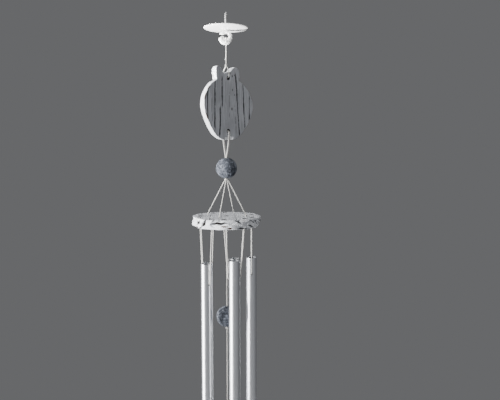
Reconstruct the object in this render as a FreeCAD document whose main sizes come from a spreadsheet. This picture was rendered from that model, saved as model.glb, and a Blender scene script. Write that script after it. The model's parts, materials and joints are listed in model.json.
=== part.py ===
import FreeCAD, Part
import math
import os
import Sketcher

from FreeCAD import Placement, Rotation, Vector

# A wind chime that hangs from a ceiling hook: a drilled plaque, a bead and a round crown board on
# cords, five graduated tubes, a clapper and a sail. Millimetres, +Z up. The origin is the middle of
# the cover plate's ceiling face, and the plaque faces -Y. A "drop" is a distance below the ceiling,
# "below" is a distance under the piece above, and "in" is a distance in from a piece's own edge.

doc = FreeCAD.newDocument("WindChime")

SIZES = {
    # cover plate and hook
    "plateWidth": 64.0,
    "plateRim": 1.4,
    "plateRise": 3.8,
    "shankWidth": 5.0,
    "shankLength": 22.0,
    "neckWidth": 7.0,
    "hookWidth": 20.4,
    "hookThick": 8.0,
    "hookDrop": 14.5,
    "eyeWidth": 6.2,
    "eyeRise": 2.3,
    "hookAside": 0.8,
    "slitInner": 1.6,
    "slitOuter": 4.6,
    "slitRise": 2.2,
    "slitDip": 0.4,
    "hookTurn": -36.0,
    # cord
    "cordWidth": 1.5,
    "cordGap": 0.3,
    "edgeBend": 1.5,
    "knotEntry": 0.9,
    # hanger knot
    "knotWidth": 4.2,
    "knotTall": 5.0,
    "knotDrop": 53.6,
    # plaque
    "boardWidth": 87.6,
    "boardTall": 105.0,
    "boardThick": 10.4,
    "boardDrop": 55.0,
    "boardHole": 4.8,
    "humpGap": 0.9,
    "footGap": 1.4,
    "pairGap": 0.1,
    "holeEase": 0.5,
    "topHoleIn": 16.5,
    "lowHoleIn": 13.0,
    # bead and the four strands inside it
    "beadWidth": 31.0,
    "beadBelow": 25.5,
    "strandGap": 0.2,
    "boreGap": 0.45,
    "beadKnotLip": 0.7,
    "beadKnotTall": 3.6,
    # crown board
    "crownWidth": 102.0,
    "crownThick": 14.0,
    "crownBelow": 55.0,
    "crownHole": 3.0,
    "recessWidth": 4.8,
    "recessDepth": 5.0,
    "sunkKnotWidth": 3.8,
    "endGap": 0.6,
    "anchorLift": 2.2,
    "hangIn": 20.2,
    "hangTurn": -56.5,
    "hangKnotWidth": 4.2,
    # tubes and their cords
    "strandIn": 11.25,
    "tubeTurn": -91.0,
    "tubeWidth": 16.0,
    "tubeWall": 1.0,
    "tubeHole": 3.0,
    "strandSpread": 30.4,
    "strandInHole": 1.2,
    "tubeSideGap": 0.45,
    # clapper
    "mouthWidth": 5.4,
    "mouthDepth": 1.6,
    "swivelWidth": 3.6,
    "swivelSink": 0.6,
    "ballWidth": 32.0,
    "ballBore": 2.2,
    "ballBelow": 138.5,
    "ballKnotWidth": 4.6,
    # sail
    "sailWidth": 46.0,
    "sailTall": 62.0,
    "sailThick": 7.0,
    "sailCorner": 17.0,
    "sailBelow": 471.5,
    "sailHoleIn": 8.0,
    "sailKnotRise": 14.0,
    "sailKnotWidth": 4.0,
}

# Each tube's length, how far its top end is below the crown board, and how far its cord hole is
# below that end.
TUBES = {
    1: (375.0, 53.1, 30.0),
    2: (337.0, 46.3, 27.0),
    3: (300.0, 48.4, 24.0),
    4: (312.0, 57.6, 25.0),
    5: (388.0, 61.5, 31.0),
}
for number, (long, below, holeIn) in TUBES.items():
    SIZES[f"tubeLong_{number}"] = long
    SIZES[f"tubeBelow_{number}"] = below
    SIZES[f"tubeHoleIn_{number}"] = holeIn

sheet = doc.addObject("Spreadsheet::Sheet", "Sizes")
for row, (alias, value) in enumerate(SIZES.items(), start=1):
    sheet.set(f"A{row}", alias)
    sheet.set(f"B{row}", str(value))
    sheet.setAlias(f"B{row}", alias)
doc.recompute()


def size(alias):
    return float(getattr(sheet, alias))


parts = {}


def keep(label, obj, at=Placement()):
    obj.Label = label
    obj.Placement = at
    parts[label] = obj


def bind(obj, **cells):
    for prop, cell in cells.items():
        obj.setExpression(prop, cell)
    return obj


def add(kind, name, at=Placement(), **cells):
    obj = doc.addObject(f"Part::{kind}", name)
    obj.Placement = at
    return bind(obj, **cells)


def fuse(name, pieces):
    joined = doc.addObject("Part::MultiFuse", name)
    joined.Shapes = pieces
    return joined


def cut(name, base, tool):
    left = doc.addObject("Part::Cut", name)
    left.Base = base
    left.Tool = tool
    return left


def group(name, pieces):
    together = doc.addObject("Part::Compound", name)
    together.Links = pieces
    return together


def at(x=0, y=0, z=0, axis=Vector(0, 0, 1), turn=0):
    return Placement(Vector(x, y, z), Rotation(axis, turn))


def around(ring, turn, z):
    # A place on a circle about the chime's axis; turn 0 is the front (-Y), and +90 is +X.
    angle = math.radians(turn)
    return Vector(ring * math.sin(angle), -ring * math.cos(angle), z)


def sketchOn(body, name, role):
    sketch = body.newObject("Sketcher::SketchObject", name)
    plane = next(f for f in body.Origin.OriginFeatures if f.Role == role)
    sketch.AttachmentSupport = [(plane, "")]
    sketch.MapMode = "FlatFace"
    return sketch


def circleIn(sketch, radiusCell, centre=Vector()):
    number = sketch.addGeometry(Part.Circle(centre, Vector(0, 0, 1), 1.0), False)
    radius = sketch.addConstraint(Sketcher.Constraint("Radius", number, 1.0))
    sketch.setExpression(f"Constraints[{radius}]", radiusCell)
    return number


def easedDrill(name, place, width, depth, ease):
    # A drill along its own Z through a board centred on it, with both mouths eased.
    over = 1.0
    shaft = add("Cylinder", f"{name}Shaft", at(), Radius=f"{width} / 2", Height=f"{depth} + {2 * over}")
    shaft.setExpression("Placement.Base.z", f"-({depth} / 2 + {over})")
    mouths = []
    for side, turn in (("Near", 0), ("Far", 180)):
        mouth = add("Cone", f"{name}{side}", at(axis=Vector(1, 0, 0), turn=turn),
                    Radius1=f"{width} / 2 + {ease} + {over}", Radius2=f"{width} / 2",
                    Height=f"{ease} + {over}")
        sign = "-" if turn == 0 else ""
        mouth.setExpression("Placement.Base.z", f"{sign}({depth} / 2 + {over})")
        mouths.append(mouth)
    drill = fuse(name, [shaft, *mouths])
    drill.Placement = place
    return drill


def tangentPath(points, bends):
    # Straight runs between the points, joined at each inner point by an arc of the given radius.
    start, edges = points[0], []
    for before, corner, after, radius in zip(points, points[1:], points[2:], bends):
        come = (corner - before).normalize()
        go = (after - corner).normalize()
        turn = come.getAngle(go)
        reach = radius * math.tan(turn / 2)
        first, last = corner - come * reach, corner + go * reach
        side = (go - come).normalize()
        centre = corner + side * (radius / math.cos(turn / 2))
        if (first - start).Length > 1e-4:
            edges.append(Part.LineSegment(start, first).toShape())
        edges.append(Part.Arc(first, centre - side * radius, last).toShape())
        start = last
    edges.append(Part.LineSegment(start, points[-1]).toShape())
    return Part.Wire(edges)


def cord(label, points, bends=(), place=Placement()):
    radius = size("cordWidth") / 2
    wire = tangentPath(points, bends)
    along = (points[1] - points[0]).normalize()
    section = Part.Wire(Part.Circle(points[0], along, radius).toShape())
    shape = wire.makePipeShell([section], True, True)
    expected = math.pi * radius**2 * wire.Length
    print(f"{label}: length {wire.Length:.1f}, volume {shape.Volume:.1f} of {expected:.1f},"
          f" bends {[round(b, 2) for b in bends]}")
    if abs(shape.Volume - expected) > 0.02 * expected:
        raise RuntimeError(f"{label}: the tube's volume doesn't match its path")
    feature = doc.addObject("Part::Feature", label)
    feature.Shape = shape
    keep(label, feature, place)


cordWidth = size("cordWidth")
edgeBend = size("edgeBend")

# Heights of the main pieces, one hung under the other.
boardFoot = -size("boardDrop") - size("boardTall")
topHoleZ = -size("boardDrop") - size("topHoleIn")
lowHoleZ = boardFoot + size("lowHoleIn")
beadZ = boardFoot - size("beadBelow") - size("beadWidth") / 2
crownTop = beadZ - size("beadWidth") / 2 - size("crownBelow")
crownFoot = crownTop - size("crownThick")
ballZ = crownFoot - size("ballBelow")
sailTop = crownFoot - size("sailBelow")

# The four strands stand in a square inside the bead, and the bore goes round them.
strandOffset = (cordWidth + size("strandGap")) / 2
boreHalf = math.sqrt(2) * strandOffset + cordWidth / 2 + size("boreGap")
BORE_HALF = ("(sqrt(2) * (Sizes.cordWidth + Sizes.strandGap) / 2 + Sizes.cordWidth / 2"
             " + Sizes.boreGap)")

# How far a strand's middle stands off a face that it passes.
standOff = size("cordGap") + cordWidth / 2


# Cover plate: a thin disc with a shallow domed face, drilled for the hook's neck.
def makePlate():
    rim = add("Cylinder", "PlateRim", Radius="Sizes.plateWidth / 2", Height="Sizes.plateRise")
    rim.setExpression("Placement.Base.z", "-Sizes.plateRise")
    domeRadius = (
        "((Sizes.plateWidth / 2)^2 + (Sizes.plateRise - Sizes.plateRim)^2)"
        " / (2 * (Sizes.plateRise - Sizes.plateRim))"
    )
    dome = add("Sphere", "PlateDome", Radius=domeRadius)
    dome.setExpression("Placement.Base.z", f"{domeRadius} - Sizes.plateRise")
    domed = doc.addObject("Part::MultiCommon", "PlateDomed")
    domed.Shapes = [rim, dome]
    bore = add("Cylinder", "PlateBore", Radius="Sizes.neckWidth / 2", Height="Sizes.plateRise * 2")
    bore.setExpression("Placement.Base.z", "-Sizes.plateRise * 1.5")
    keep("ceiling_plate", cut("Plate", domed, bore))


# Ceiling hook: a thick open ring with an off-centre eye, on a neck that fills the plate's bore and a
# shank that stands up into the ceiling. The ring is in the local XZ plane, so its eye looks along Y.
def makeHook():
    across = Vector(1, 0, 0)
    ring = add("Ellipsoid", "HookRing", at(axis=across, turn=90),
               Radius1="Sizes.hookThick / 2", Radius2="Sizes.hookWidth / 2",
               Radius3="Sizes.hookWidth / 2")
    ring.setExpression("Placement.Base.x", "-Sizes.hookAside")
    ring.setExpression("Placement.Base.z", "-Sizes.hookDrop")
    neck = add("Cylinder", "HookNeck", Radius="Sizes.neckWidth / 2",
               Height="Sizes.hookDrop - Sizes.hookWidth / 2 + 1")
    neck.setExpression("Placement.Base.z", "Sizes.hookWidth / 2 - Sizes.hookDrop - 1")
    shank = add("Cylinder", "HookShank", Radius="Sizes.shankWidth / 2",
                Height="Sizes.shankLength + 1")
    shank.setExpression("Placement.Base.z", "-1")
    solid = fuse("HookSolid", [ring, neck, shank])

    eyeZ = "Sizes.eyeRise - Sizes.hookDrop"
    flare = add("Cylinder", "EyeFlare", at(axis=across, turn=90),
                Radius="(Sizes.eyeWidth + Sizes.hookThick) / 2", Height="Sizes.hookThick")
    flare.setExpression("Placement.Base.y", "Sizes.hookThick / 2")
    flare.setExpression("Placement.Base.z", eyeZ)
    bar = add("Torus", "EyeBar", at(axis=across, turn=90),
              Radius1="(Sizes.eyeWidth + Sizes.hookThick) / 2", Radius2="Sizes.hookThick / 2")
    bar.setExpression("Placement.Base.z", eyeZ)
    eye = cut("Eye", flare, bar)

    # The ring's opening is a wedge that widens outwards from the eye, on the local -X side.
    slit = add("Wedge", "Slit", at(turn=90), Xmin="-Sizes.hookThick / 2 - 1",
               Xmax="Sizes.hookThick / 2 + 1", X2min="-Sizes.hookThick / 2 - 1",
               X2max="Sizes.hookThick / 2 + 1", Ymin="Sizes.eyeWidth / 4",
               Ymax="Sizes.hookWidth / 2 + 2", Zmin="Sizes.slitRise - Sizes.slitInner / 2",
               Zmax="Sizes.slitRise + Sizes.slitInner / 2",
               Z2min="-Sizes.slitDip - Sizes.slitOuter / 2",
               Z2max="Sizes.slitOuter / 2 - Sizes.slitDip")
    slit.setExpression("Placement.Base.z", eyeZ)
    hook = cut("Hook", solid, fuse("HookCuts", [eye, slit]))
    keep("ceiling_hook", hook, at(turn=size("hookTurn")))


# The plaque's outline: rounded, narrowing to the bottom and a little fuller on its right, with two
# ears. Shares of half its width across from its holes, and of its height up from its lowest point.
BODY = [(0.45, 0.815), (0.72, 0.738), (0.94, 0.615), (1.04, 0.475), (0.92, 0.3), (0.63, 0.12), (0.31, 0.02),
        (0, 0), (-0.3, 0.015), (-0.6, 0.12), (-0.84, 0.295), (-0.96, 0.475), (-0.89, 0.62), (-0.7, 0.742),
        (-0.45, 0.815)]
RIGHT_EAR = [(0.45, 0.815), (0.475, 0.9), (0.45, 0.952), (0.39, 0.987), (0.3, 1.0), (0.2, 0.982), (0.085, 0.93)]
HUMP = [(0.085, 0.93), (0.01, 0.926), (-0.06, 0.919), (-0.12, 0.902)]
LEFT_EAR = [(-0.12, 0.902), (-0.19, 0.924), (-0.24, 0.957), (-0.315, 0.99), (-0.4, 1.0), (-0.465, 0.974),
            (-0.485, 0.925), (-0.468, 0.86), (-0.45, 0.815)]


# Hanger: a loop over the hook's lower bar, the knot, and a loop through the plaque's top hole.
def makeHanger():
    eyeBottom = -size("hookDrop") + size("eyeRise") - size("eyeWidth") / 2
    barMiddle = eyeBottom - size("hookThick") / 2
    bend = size("hookThick") / 2 + standOff
    knotIn = size("knotEntry")
    # The two loops end one above the other inside the knot.
    knotZ = -size("knotDrop") + knotIn
    # The strand is the tangent from the knot to the arc over the bar.
    drop = barMiddle - knotZ
    lean = math.asin(bend / math.hypot(drop, knotIn)) - math.atan2(knotIn, drop)
    half = bend * math.tan((math.pi / 2 + lean) / 2)
    top = barMiddle + bend
    cord("hanger_cord_upper",
         [Vector(0, -knotIn, knotZ), Vector(0, -half, top), Vector(0, half, top), Vector(0, knotIn, knotZ)],
         [bend, bend], at(turn=size("hookTurn")))

    knot = add("Ellipsoid", "Knot", Radius1="Sizes.knotTall / 2", Radius2="Sizes.knotWidth / 2",
               Radius3="Sizes.knotWidth / 2")
    keep("hanger_knot", knot, at(z=-size("knotDrop")))

    face = size("boardThick") / 2 + standOff
    hole = topHoleZ + size("boardHole") / 2 - standOff
    # The strands clear the hump between the ears before they lean in to the knot.
    lip = boardFoot + max(up for across, up in HUMP) * size("boardTall") + size("humpGap")
    knotZ = -size("knotDrop") - knotIn
    cord("hanger_cord_lower",
         [Vector(0, -knotIn, knotZ), Vector(0, -face, lip), Vector(0, -face, hole),
          Vector(0, face, hole), Vector(0, face, lip), Vector(0, knotIn, knotZ)],
         [edgeBend * 2, edgeBend, edgeBend, edgeBend * 2])


# Plaque: a thick board with a hole near its top and one near its bottom.
def makePlaque():
    body = doc.addObject("PartDesign::Body", "Board")
    sketch = sketchOn(body, "BoardOutline", "XZ_Plane")
    for stretch in (BODY, RIGHT_EAR, HUMP, LEFT_EAR):
        curve = Part.BSplineCurve()
        curve.interpolate([
            Vector(x * size("boardWidth") / 2, up * size("boardTall") - size("boardTall"), 0)
            for x, up in stretch
        ])
        sketch.addGeometry(curve, False)
    pad = body.newObject("PartDesign::Pad", "BoardPad")
    pad.Profile = sketch
    pad.SideType = "Symmetric"
    bind(pad, Length="Sizes.boardThick")

    drills = []
    for name, z in (("TopDrill", topHoleZ), ("LowDrill", lowHoleZ)):
        place = at(axis=Vector(1, 0, 0), turn=90, z=size("boardDrop") + z)
        drills.append(easedDrill(name, place, "Sizes.boardHole", "Sizes.boardThick", "Sizes.holeEase"))
    plaque = cut("Plaque", body, fuse("BoardDrills", drills))
    keep("plaque", plaque, at(z=-size("boardDrop")))


# Bead and the knot seated in the mouth of its bore.
def makeBead():
    ball = add("Sphere", "BeadBall", Radius="Sizes.beadWidth / 2")
    bore = add("Cylinder", "BeadBoreTool", Radius=BORE_HALF, Height="Sizes.beadWidth + 2")
    bore.setExpression("Placement.Base.z", "-Sizes.beadWidth / 2 - 1")
    keep("bead", cut("Bead", ball, bore), at(z=beadZ))
    knotHalf = f"{BORE_HALF} + Sizes.beadKnotLip"
    knot = add("Ellipsoid", "BeadKnot", Radius1="Sizes.beadKnotTall / 2", Radius2=knotHalf,
               Radius3=knotHalf)
    below = seatedBelow(size("beadWidth"), boreHalf, boreHalf + size("beadKnotLip"), size("beadKnotTall"))
    keep("bead_knot", knot, at(z=beadZ - below))


def seatedBelow(ballWidth, boreHalf, knotHalf, knotTall):
    # How far a knot's middle is below a drilled ball's, when the knot sits in the bore's mouth.
    mouth = math.sqrt((ballWidth / 2) ** 2 - boreHalf**2)
    return mouth + knotTall / 2 * math.sqrt(1 - (boreHalf / knotHalf) ** 2)


# Suspension cords: each runs from a knot under the crown board up through the bead, through the
# plaque's lower hole, and back down through the bead to a second knot.
def hangPlaces():
    ring = size("crownWidth") / 2 - size("hangIn")
    return [around(ring, size("hangTurn") + 90 * k, 0) for k in range(4)]


def makeSuspension():
    leftFront, rightFront, rightRear, leftRear = hangPlaces()
    tail = crownFoot - math.sqrt((size("hangKnotWidth") / 2) ** 2 - (size("crownHole") / 2) ** 2)
    offset = strandOffset
    beadTop, beadFoot = beadZ + size("beadWidth") / 2, beadZ - size("beadWidth") / 2
    face = size("boardThick") / 2 + standOff
    side = (cordWidth + size("pairGap")) / 2
    reach = size("boardHole") / 2 - standOff
    hole = lowHoleZ - math.sqrt(reach**2 - side**2)
    lip = boardFoot - size("footGap")
    rise = cordWidth / 2
    for number, sign, front, rear in ((1, -1, leftFront, leftRear), (2, 1, rightFront, rightRear)):
        points = [
            Vector(front.x, front.y, tail), Vector(front.x, front.y, crownTop + rise),
            Vector(sign * offset, -offset, beadFoot), Vector(sign * offset, -offset, beadTop),
            Vector(sign * side, -face, lip), Vector(sign * side, -face, hole),
            Vector(sign * side, face, hole), Vector(sign * side, face, lip),
            Vector(sign * offset, offset, beadTop), Vector(sign * offset, offset, beadFoot),
            Vector(rear.x, rear.y, crownTop + rise), Vector(rear.x, rear.y, tail),
        ]
        half = [edgeBend * 2, edgeBend * 2, edgeBend * 2, edgeBend * 3, edgeBend]
        cord(f"suspension_cord_{number}", points, half + half[::-1])

    knots = []
    for number, spot in enumerate(hangPlaces(), start=1):
        knot = add("Sphere", f"HangKnot{number}", at(spot.x, spot.y, tail),
                   Radius="Sizes.hangKnotWidth / 2")
        knots.append(knot)
    keep("suspension_knots", group("HangKnots", knots))


# Crown board: a thick disc, with a plain hole for each suspension strand and a hole with a sunk
# recess above it for each tube strand and for the clapper line.
def tubeTurn(number):
    return size("tubeTurn") + 72 * (number - 1)


def tubeRing():
    # The tubes hang under the middles of their strands' holes, which are all one distance in.
    return math.sqrt((size("crownWidth") / 2 - size("strandIn")) ** 2 - (size("strandSpread") / 2) ** 2)


def strandPlaces(number):
    turn = math.radians(tubeTurn(number))
    middle = around(tubeRing(), tubeTurn(number), 0)
    along = Vector(math.cos(turn), math.sin(turn), 0)
    half = size("strandSpread") / 2
    return [middle - along * half, middle + along * half]


def sunkPlaces():
    return [spot for number in TUBES for spot in strandPlaces(number)]


def makeCrown():
    disc = add("Cylinder", "CrownDisc", Radius="Sizes.crownWidth / 2", Height="Sizes.crownThick")
    disc.setExpression("Placement.Base.z", "-Sizes.crownThick")
    tools = []
    for number, spot in enumerate(hangPlaces() + sunkPlaces() + [Vector()]):
        hole = add("Cylinder", f"CrownHole{number}", at(spot.x, spot.y),
                   Radius="Sizes.crownHole / 2", Height="Sizes.crownThick + 2")
        hole.setExpression("Placement.Base.z", "-Sizes.crownThick - 1")
        tools.append(hole)
    for number, spot in enumerate(sunkPlaces() + [Vector()]):
        recess = add("Cylinder", f"CrownRecess{number}", at(spot.x, spot.y),
                     Radius="Sizes.recessWidth / 2", Height="Sizes.recessDepth + 1")
        recess.setExpression("Placement.Base.z", "-Sizes.recessDepth")
        tools.append(recess)
    mouth = add("Cone", "ClapperMouth", Radius1="Sizes.mouthWidth / 2",
                Radius2="Sizes.crownHole / 2", Height="Sizes.mouthDepth")
    mouth.setExpression("Placement.Base.z", "-Sizes.crownThick")
    tools.append(mouth)
    crown = cut("Crown", disc, fuse("CrownTools", tools))
    keep("crown_disc", crown, at(z=crownTop))


# A knot that rests on the floor of its recess, with the end of its cord below it in the hole.
def sunkKnot(name, spot, endAbove):
    knot = add("Sphere", f"{name}Ball", Radius="Sizes.sunkKnotWidth / 2")
    knot.setExpression("Placement.Base.z", "sqrt((Sizes.sunkKnotWidth / 2)^2 - (Sizes.crownHole / 2)^2)"
                       " - Sizes.recessDepth")
    end = add("Cylinder", f"{name}End", Radius="Sizes.cordWidth / 2",
              Height=f"Sizes.crownThick - Sizes.recessDepth + 1 - {endAbove}")
    end.setExpression("Placement.Base.z", f"{endAbove} - Sizes.crownThick")
    sunk = fuse(name, [knot, end])
    sunk.Placement = at(spot.x, spot.y, crownTop)
    return sunk


def makeSunkKnots():
    # A swinging strand starts a little way up inside its hole, and the fixed end stops above it.
    above = "(Sizes.strandInHole + Sizes.endGap)"
    knots = [sunkKnot(f"SunkKnot{n}", spot, above) for n, spot in enumerate(sunkPlaces())]
    keep("tube_cord_knots", group("SunkKnots", knots))
    anchor = group("Anchor", [sunkKnot("AnchorKnot", Vector(), "Sizes.anchorLift")])
    keep("clapper_anchor", anchor)


# Each tube and the cord loop that carries it. Their local X runs round the ring, and the cord
# bears on the upper side of the tube's two holes.
def makeTube(number):
    spot = around(tubeRing(), tubeTurn(number), crownFoot - size(f"tubeBelow_{number}"))
    turn = tubeTurn(number)
    body = doc.addObject("PartDesign::Body", f"Tube{number}")
    rings = sketchOn(body, f"TubeRings{number}", "XY_Plane")
    circleIn(rings, "Sizes.tubeWidth / 2")
    circleIn(rings, "Sizes.tubeWidth / 2 - Sizes.tubeWall")
    pad = body.newObject("PartDesign::Pad", f"TubePad{number}")
    pad.Profile = rings
    pad.Reversed = True
    bind(pad, Length=f"Sizes.tubeLong_{number}")
    holes = sketchOn(body, f"TubeHoles{number}", "YZ_Plane")
    circleIn(holes, "Sizes.tubeHole / 2", Vector(0, -size(f"tubeHoleIn_{number}"), 0))
    pocket = body.newObject("PartDesign::Pocket", f"TubePocket{number}")
    pocket.Profile = holes
    pocket.Type = "ThroughAll"
    pocket.SideType = "Symmetric"
    keep(f"chime_tube_{number}", body, Placement(spot, Rotation(Vector(0, 0, 1), turn)))

    outer = (size("tubeWidth") + cordWidth) / 2 + size("tubeSideGap")
    bearing = -size(f"tubeHoleIn_{number}") + size("tubeHole") / 2 - standOff
    top = size(f"tubeBelow_{number}") + size("strandInHole")
    half = size("strandSpread") / 2
    cord(f"tube_cord_{number}",
         [Vector(-half, 0, top), Vector(-outer, 0, bearing), Vector(outer, 0, bearing),
          Vector(half, 0, top)],
         [edgeBend, edgeBend], Placement(spot, Rotation(Vector(0, 0, 1), turn)))


# Clapper: a small knot seated in the crown's lower mouth, the line, the ball and the knot under it.
def makeClapper():
    swivelZ = crownFoot - size("swivelSink")
    knot = add("Sphere", "Swivel", Radius="Sizes.swivelWidth / 2")
    keep("clapper_top_knot", knot, at(z=swivelZ))

    ball = add("Sphere", "ClapperSphere", Radius="Sizes.ballWidth / 2")
    bore = add("Cylinder", "ClapperBore", Radius="Sizes.ballBore / 2", Height="Sizes.ballWidth + 2")
    bore.setExpression("Placement.Base.z", "-Sizes.ballWidth / 2 - 1")
    keep("clapper_ball", cut("Clapper", ball, bore), at(z=ballZ))

    knotHalf = size("ballKnotWidth") / 2
    below = seatedBelow(size("ballWidth"), size("ballBore") / 2, knotHalf, 2 * knotHalf)
    knotZ = ballZ - below
    foot = add("Sphere", "BallKnot", Radius="Sizes.ballKnotWidth / 2")
    keep("clapper_knot", foot, at(z=knotZ))

    top = swivelZ - size("swivelWidth") / 2 - size("cordGap") / 2
    cord("clapper_cord", [Vector(0, 0, top), Vector(0, 0, knotZ)])
    return knotZ


# Sail: a rounded wooden tag on a small loop, far below the clapper.
def makeSail(ballKnotZ):
    block = add("Box", "SailBlock", Length="Sizes.sailWidth", Width="Sizes.sailThick",
                Height="Sizes.sailTall")
    block.setExpression("Placement.Base.x", "-Sizes.sailWidth / 2")
    block.setExpression("Placement.Base.y", "-Sizes.sailThick / 2")
    block.setExpression("Placement.Base.z", "-Sizes.sailTall")
    doc.recompute()
    rounded = doc.addObject("Part::Fillet", "SailRounded")
    rounded.Base = block
    corner = size("sailCorner")
    rounded.Edges = [
        (number, corner, corner) for number, edge in enumerate(block.Shape.Edges, start=1)
        if abs(abs(edge.tangentAt(edge.FirstParameter).y) - 1) < 1e-6
    ]
    place = at(axis=Vector(1, 0, 0), turn=90, z=-size("sailHoleIn"))
    drill = easedDrill("SailDrill", place, "Sizes.boardHole", "Sizes.sailThick", "Sizes.holeEase")
    keep("wind_sail", cut("Sail", rounded, drill), at(z=sailTop))

    knotZ = sailTop - size("sailHoleIn") + size("sailKnotRise")
    knot = add("Sphere", "SailKnot", Radius="Sizes.sailKnotWidth / 2")
    keep("sail_knot", knot, at(z=knotZ))
    top = ballKnotZ - size("ballKnotWidth") / 2 - size("cordGap") / 2
    cord("sail_cord", [Vector(0, 0, top), Vector(0, 0, knotZ)])

    face = size("sailThick") / 2 + standOff
    hole = sailTop - size("sailHoleIn") + size("boardHole") / 2 - standOff
    lip = sailTop + cordWidth / 2
    knotIn = size("knotEntry")
    cord("sail_loop",
         [Vector(0, -knotIn, knotZ), Vector(0, -face, lip), Vector(0, -face, hole),
          Vector(0, face, hole), Vector(0, face, lip), Vector(0, knotIn, knotZ)],
         [edgeBend * 2, edgeBend, edgeBend, edgeBend * 2])


makePlate()
makeHook()
makeHanger()
makePlaque()
makeBead()
makeSuspension()
makeCrown()
makeSunkKnots()
for number in TUBES:
    makeTube(number)
makeSail(makeClapper())

doc.recompute()
failed = [obj.Label for obj in doc.Objects if "Invalid" in obj.State or "Error" in obj.State]
failed += [label for label, obj in parts.items() if obj.Shape.isNull() or not obj.Shape.isValid()]
if failed:
    raise RuntimeError(f"These objects failed: {failed}")

os.makedirs("parts", exist_ok=True)
for label, obj in parts.items():
    obj.Shape.exportStep(f"parts/{label}.step")
    box = obj.Shape.BoundBox
    print(f"{label}: {len(obj.Shape.Solids)} solids, {obj.Shape.Volume:.1f} mm3,"
          f" z {box.ZMin:.1f} to {box.ZMax:.1f}")
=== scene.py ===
import json
import math
import random

import bpy
import numpy as np
from mathutils import Euler, Matrix, Vector
from mathutils.kdtree import KDTree

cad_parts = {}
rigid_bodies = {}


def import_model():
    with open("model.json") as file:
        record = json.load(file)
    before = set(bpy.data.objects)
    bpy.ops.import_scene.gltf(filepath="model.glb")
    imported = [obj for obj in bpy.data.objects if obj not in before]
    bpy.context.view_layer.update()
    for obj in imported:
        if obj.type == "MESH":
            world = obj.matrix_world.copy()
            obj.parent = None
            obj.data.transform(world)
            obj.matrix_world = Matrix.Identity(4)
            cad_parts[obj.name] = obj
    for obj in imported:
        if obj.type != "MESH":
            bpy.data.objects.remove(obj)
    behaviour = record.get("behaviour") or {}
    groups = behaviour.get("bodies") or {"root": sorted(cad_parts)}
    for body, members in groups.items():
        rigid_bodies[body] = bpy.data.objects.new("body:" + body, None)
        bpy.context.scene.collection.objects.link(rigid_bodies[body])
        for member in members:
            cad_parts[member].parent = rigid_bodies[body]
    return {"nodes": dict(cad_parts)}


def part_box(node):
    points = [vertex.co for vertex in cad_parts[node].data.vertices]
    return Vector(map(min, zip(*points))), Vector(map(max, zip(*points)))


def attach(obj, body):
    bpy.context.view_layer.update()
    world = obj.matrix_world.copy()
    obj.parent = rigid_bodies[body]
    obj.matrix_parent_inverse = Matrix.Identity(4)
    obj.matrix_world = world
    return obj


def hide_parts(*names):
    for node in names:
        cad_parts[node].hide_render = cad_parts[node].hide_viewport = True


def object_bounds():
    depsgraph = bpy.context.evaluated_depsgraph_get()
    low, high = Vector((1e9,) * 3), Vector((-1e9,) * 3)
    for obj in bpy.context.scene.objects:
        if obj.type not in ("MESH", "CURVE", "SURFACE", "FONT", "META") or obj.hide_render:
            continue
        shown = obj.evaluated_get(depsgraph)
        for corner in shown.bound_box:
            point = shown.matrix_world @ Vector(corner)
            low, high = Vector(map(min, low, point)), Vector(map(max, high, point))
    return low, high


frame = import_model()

# A hanging wind chime: cover plate and hook, an eared plaque, a bead, a round crown board, five tubes,
# a clapper and a sail. The scene is in metres, shapes are given in millimetres, and the plaque faces -Y.

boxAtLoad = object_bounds()
nodes = frame["nodes"]
scene = bpy.context.scene
mm = 0.001


def turned(turn):
    # A direction seen from above: 0 is the front (-Y), and 90 is +X.
    angle = math.radians(turn)
    return Vector((math.sin(angle), -math.cos(angle), 0))


def show(name, mesh, body, slot, *stoodFor):
    piece = bpy.data.objects.new(name, mesh)
    scene.collection.objects.link(piece)
    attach(piece, body)
    if stoodFor:
        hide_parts(*stoodFor)
    return piece


def meshOf(name, corners, faces):
    mesh = bpy.data.meshes.new(name)
    mesh.from_pydata([tuple(corner) for corner in corners], [], faces)
    return mesh


def bands(start, rings, sides, closed=False):
    # Faces between rings of points, from point number start on.
    faces = []
    for ring in range(rings - 1 + closed):
        near, far = start + ring * sides, start + (ring + 1) % rings * sides
        faces += [(near + k, near + (k + 1) % sides, far + (k + 1) % sides, far + k) for k in range(sides)]
    return faces


def ringFace(start, ring, sides):
    return tuple(start + ring * sides + k for k in range(sides))


# Camera: below the ceiling, at the height of the plaque's foot, in front and to the left.
cameraSetup = {"away": 0.844, "turn": -36.0, "height": -0.160, "down": 5.96, "aside": 2.34, "lens": 41.4}


def placeCamera():
    camera = bpy.data.objects.new("camera", bpy.data.cameras.new("camera"))
    scene.collection.objects.link(camera)
    camera.location = turned(cameraSetup["turn"]) * cameraSetup["away"] + Vector((0, 0, cameraSetup["height"]))
    camera.rotation_euler = Euler((
        math.radians(90 - cameraSetup["down"]), 0, math.radians(cameraSetup["turn"] - cameraSetup["aside"])))
    camera.data.lens = cameraSetup["lens"]
    camera.data.clip_start = 0.01
    scene.camera = camera


placeCamera()
print("camera placed")


# Cords. Each is a twist of three plies laid along its own smooth route.
cordMake = {"width": 1.5 * mm, "plies": 3, "layLength": 5.5 * mm, "crease": 0.2, "sides": 18, "step": 0.5 * mm}


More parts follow.
